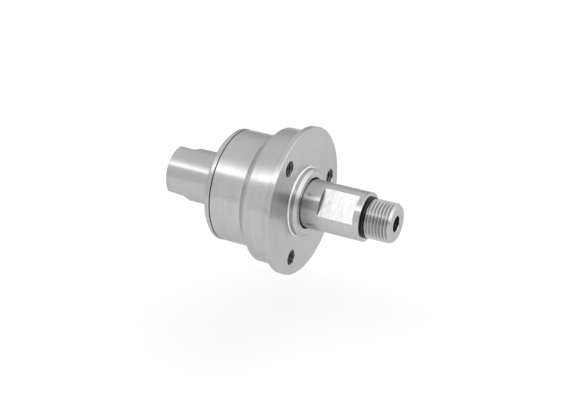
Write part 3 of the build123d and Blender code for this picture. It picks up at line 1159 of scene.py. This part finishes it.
@dataclass
class SealSpring:
    """Compression spring between the cover's chamber floor and the floating carrier's head."""

    wire_r: float = 0.6
    coil_r: float = 9.0
    turns: float = 4.0
    ground: float = 0.1
    floor_x: float = -53.0
    head_x: float = -45.5
    length_spans: int = 288
    wire_spans: int = 24

    def build(self, finishes: Finishes) -> None:
        """Build and dress the spring.

        The wire's centre is the helix x = x0 + climb t, (y, z) = R (cos t, sin t). A circle about
        it lies across the helix, in the radial direction and the one square to it and to the
        wire. Both ends are ground flat: x is held between the chamber's floor and the head.

        Args:
            finishes: The part's finishes.
        """
        turn = np.linspace(0.0, 2 * math.pi * self.turns, self.length_spans + 1)[:, None]
        about = np.linspace(0.0, 2 * math.pi, self.wire_spans + 1)[None, :]
        climb = (self.head_x - self.floor_x + 2 * self.ground) / (2 * math.pi * self.turns)
        lean = math.atan2(climb, self.coil_r)
        start = self.floor_x - self.ground
        across = self.wire_r * np.sin(about)
        radial = self.coil_r + self.wire_r * np.cos(about)
        t = turn - math.pi / 2
        x = np.clip(start + climb * turn + across * math.cos(lean), self.floor_x, self.head_x)
        y = radial * np.cos(t) + across * math.sin(lean) * np.sin(t)
        z = radial * np.sin(t) - across * math.sin(lean) * np.cos(t)
        wire = np.stack([x, y, z], axis=-1)
        ends = [np.broadcast_to(row.mean(axis=0), (1,) + row.shape) for row in (wire[0], wire[-1])]
        surface = Surface("seal_spring_coil")
        surface.add(np.concatenate([ends[0], wire, ends[1]]))
        piece = surface.build(SMOOTH_WIRE)
        piece.data.materials.append(finishes.spring)
        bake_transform(piece)
        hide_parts("seal_spring")
        LOG.info("%s: %d faces, blended", piece.name, len(piece.data.polygons))


def dress_inner_pieces(finishes: Finishes) -> None:
    """Give the solids that stay as they are their finishes.

    Args:
        finishes: The part's finishes.
    """
    wear = {
        finishes.rubber: ["shaft_seal_lip", "cover_o_ring", "seal_seat_o_ring", "seal_face_o_ring",
                          "seal_carrier_o_ring"],
        finishes.pressed: ["shaft_seal_case", "front_bearing_shields", "rear_bearing_shields"],
        finishes.spring: ["shaft_seal_spring", "support_washer", "retaining_ring", "anti_rotation_pins"],
        finishes.bearing: ["inner_spacer", "outer_spacer", "bearing_shim", "front_bearing_outer_ring",
                           "front_bearing_inner_ring", "front_bearing_balls", "rear_bearing_outer_ring",
                           "rear_bearing_inner_ring", "rear_bearing_balls"],
        finishes.cage: ["front_bearing_cage", "rear_bearing_cage"],
        finishes.backup: ["seal_backup_ring"],
        finishes.carbon: ["seal_face_ring"],
        finishes.seat: ["seal_seat_ring"],
        finishes.shaft: ["seal_carrier"],
    }
    for material, nodes in wear.items():
        for name in nodes:
            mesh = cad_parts[name].data
            mesh.materials.clear()
            mesh.materials.append(material)
        LOG.info("%s on %d solids", material.name, len(nodes))


@dataclass
class Studio:
    """Camera at the photograph's angle, pale floor and soft studio light.

    The light is set by the angle of its direction about X, in degrees, with 90 overhead and 180 on
    the camera's side, and by the direction's X, from -1 behind the part to 1 beyond its shaft.

    Attributes:
        azimuth: Camera's turn about Z, in degrees.
        elevation: Camera's height over the part, in degrees.
        distance: Camera's distance in metres.
        slide_right: Camera's shift to its right in metres.
        slide_up: Camera's shift upwards in metres.
        lens: Focal length in millimetres.
        sensor: Width of the camera's picture in millimetres.
        fill: Level of the tent.
        strip: Level of the strip light.
        strip_swell: Angles over which the strip swells.
        strip_power: How late it swells.
        strip_stop: Angles over which it ends.
        strip_shift: Shift of the strip's middle along X.
        strip_fade: Distances from its middle over which it fades.
        under: Angles over which the shade below the strip sets in.
        shade_x: X between which the shade grows.
        shade: Share of the fill that the shade takes at either end.
        away: Angles over which the far wall comes up to the fill.
        away_level: Share of the fill low on the far wall.
        lift: Share added overhead, beyond the shaft.
        lift_top: Angles over which it fades.
        lift_x: X between which it sets in.
        tail: Share of the fill behind the part.
        tail_x: X between which the fill recovers from it.
        panel: Level of the panel beyond the shaft's end.
        panel_x: X between which the panel sets in.
        floor_z: Height of the floor in metres.
        floor_half: Half the floor's width in metres.
        floor_tone: Reflectance of the floor.
        floor_roughness: Roughness of the floor.
        floor_glow: Light of the floor towards the part, and as it is seen.
    """

    azimuth: float = 28.005
    elevation: float = 27.834
    distance: float = 0.70042
    slide_right: float = -0.009934
    slide_up: float = 0.000694
    lens: float = 85.36
    sensor: float = 36.0
    fill: float = 0.91
    strip: float = 2.6
    strip_swell: Span = (95.0, 126.0)
    strip_power: float = 2.2
    strip_stop: Span = (131.0, 135.0)
    strip_shift: float = 0.3
    strip_fade: Span = (0.55, 0.9)
    under: Span = (135.0, 142.0)
    shade_x: Span = (-0.5, 0.45)
    shade: Span = (-0.15, 0.64)
    away: Span = (-15.0, 45.0)
    away_level: float = 0.5
    lift: float = 0.7
    lift_top: Span = (105.0, 130.0)
    lift_x: Span = (-0.05, 0.3)
    tail: float = 0.93
    tail_x: Span = (-0.97, -0.75)
    panel: float = 0.4
    panel_x: Span = (0.72, 0.84)
    floor_z: float = -0.09
    floor_half: float = 4.0
    floor_tone: float = 0.56
    floor_roughness: float = 0.9
    floor_glow: Span = (0.06, 0.37)

    def axes(self) -> tuple[Vector, Vector, Vector]:
        """Find the camera's directions.

        Returns:
            The directions to its back, right and top.
        """
        a = math.radians(self.azimuth)
        e = math.radians(self.elevation)
        back = Vector((math.sin(a) * math.cos(e), -math.cos(a) * math.cos(e), math.sin(e)))
        right = Vector((math.cos(a), math.sin(a), 0.0))
        up = Vector((-math.sin(a) * math.sin(e), math.cos(a) * math.sin(e), math.cos(e)))
        return back, right, up

    def build_camera(self) -> None:
        """Set the camera where the photograph was taken."""
        back, right, up = self.axes()
        data = bpy.data.cameras.new("camera")
        data.lens = self.lens
        data.sensor_width = self.sensor
        camera = bpy.data.objects.new("camera", data)
        camera.location = back * self.distance + right * self.slide_right + up * self.slide_up
        camera.rotation_euler = (-back).to_track_quat("-Z", "Y").to_euler()
        bpy.context.scene.collection.objects.link(camera)
        bpy.context.scene.camera = camera

    def build_world(self) -> None:
        """Light tent: an even fill, and one long strip light that lies along X overhead.

        The strip is found from the direction's angle about X: it swells from straight overhead
        towards the camera's side, and ends sharply. The tent's wall below it is in shade, more so
        towards the camera, and a panel stands beyond the shaft's end. The camera itself sees plain
        white beyond the floor.
        """
        world = bpy.data.worlds.new("light_tent")
        world.use_nodes = True
        graph = Graph(world.node_tree)
        world.node_tree.nodes.clear()
        toward = graph.node("ShaderNodeTexCoord").outputs["Generated"]
        axes = graph.node("ShaderNodeSeparateXYZ", {"Vector": toward}).outputs
        along = axes["X"]
        about = graph.math("ARCTAN2", axes["Z"], axes["Y"])
        swell = graph.math("POWER", graph.sweep(about, self.strip_swell, 0.0, 1.0), self.strip_power)
        stop = graph.sweep(about, self.strip_stop, 1.0, 0.0)
        off_middle = graph.math("ABSOLUTE", graph.math("ADD", along, self.strip_shift))
        length = graph.span(off_middle, *self.strip_fade, 1.0, 0.0)
        strip = graph.math("MULTIPLY", graph.math("MULTIPLY", swell, stop), length)
        under = graph.sweep(about, self.under, 0.0, 1.0)
        shade = graph.math("MULTIPLY", under, graph.span(along, *self.shade_x, *self.shade))
        away = graph.sweep(about, self.away, self.away_level, 1.0)
        wall = graph.math("MULTIPLY", away, graph.math("SUBTRACT", 1.0, shade))
        fill = graph.math("MULTIPLY", wall, self.fill)
        top = graph.sweep(about, self.lift_top, self.lift, 0.0)
        lift = graph.math("MULTIPLY", graph.span(along, *self.lift_x, 0.0, 1.0), top)
        tail = graph.span(along, *self.tail_x, self.tail, 1.0)
        fill = graph.math("MULTIPLY", fill, graph.math("ADD", lift, tail))
        level = graph.math("ADD", fill, graph.math("MULTIPLY", strip, self.strip - self.fill))
        panel = graph.math("MULTIPLY", graph.span(along, *self.panel_x, 0.0, 1.0), self.panel)
        level = graph.math("ADD", level, panel)
        camera = graph.node("ShaderNodeLightPath").outputs["Is Camera Ray"]
        level = graph.math("MULTIPLY", level, graph.math("SUBTRACT", 1.0, camera))
        level = graph.math("ADD", level, camera)
        light = graph.node("ShaderNodeBackground", {"Color": grey(1.0), "Strength": level})
        out = graph.node("ShaderNodeOutputWorld")
        graph.feed(out.inputs["Surface"], light.outputs[0])
        bpy.context.scene.world = world

    def build_floor(self) -> None:
        """Pale floor that shows white, keeps the part's soft shadow and is clear from below."""
        mesh = bpy.data.meshes.new("floor")
        square = ((-1, -1), (1, -1), (1, 1), (-1, 1))
        corners = [(self.floor_half * x, self.floor_half * y, self.floor_z) for x, y in square]
        mesh.from_pydata(corners, [], [(0, 1, 2, 3)])
        floor = bpy.data.objects.new("floor", mesh)
        bpy.context.scene.collection.objects.link(floor)
        material, graph, shader = new_material("pale_floor")
        shader.inputs["Base Color"].default_value = grey(self.floor_tone)
        shader.inputs["Roughness"].default_value = self.floor_roughness
        shader.inputs["Specular IOR Level"].default_value = 0.0
        path = graph.node("ShaderNodeLightPath").outputs
        seen = graph.math("MAXIMUM", path["Is Camera Ray"], path["Is Glossy Ray"])
        seen = graph.math("MAXIMUM", seen, path["Is Transmission Ray"])
        glow = graph.mix(seen, *map(grey, self.floor_glow))
        graph.feed(shader.inputs["Emission Color"], glow)
        shader.inputs["Emission Strength"].default_value = 1.0
        below = graph.node("ShaderNodeNewGeometry").outputs["Backfacing"]
        clear = graph.node("ShaderNodeBsdfTransparent").outputs[0]
        either = graph.node("ShaderNodeMixShader", {0: below, 1: shader.outputs[0], 2: clear})
        graph.feed(material.node_tree.nodes["Material Output"].inputs["Surface"], either.outputs[0])
        mesh.materials.append(material)

    def build(self) -> None:
        """Build the studio and set the view's colours."""
        self.build_camera()
        self.build_world()
        self.build_floor()
        bpy.context.scene.view_settings.view_transform = "Standard"


def main() -> None:
    """Build the part in order, from the studio to its inner pieces."""
    logging.basicConfig(level=logging.INFO, format="%(name)s: %(message)s")
    Studio().build()
    finishes = Finishes()
    Housing().build(finishes)
    InletCover().build(finishes)
    Shaft().build(finishes)
    OutletRing().build(finishes)
    SealSpring().build(finishes)
    dress_inner_pieces(finishes)


if __name__ == "__main__":
    main()
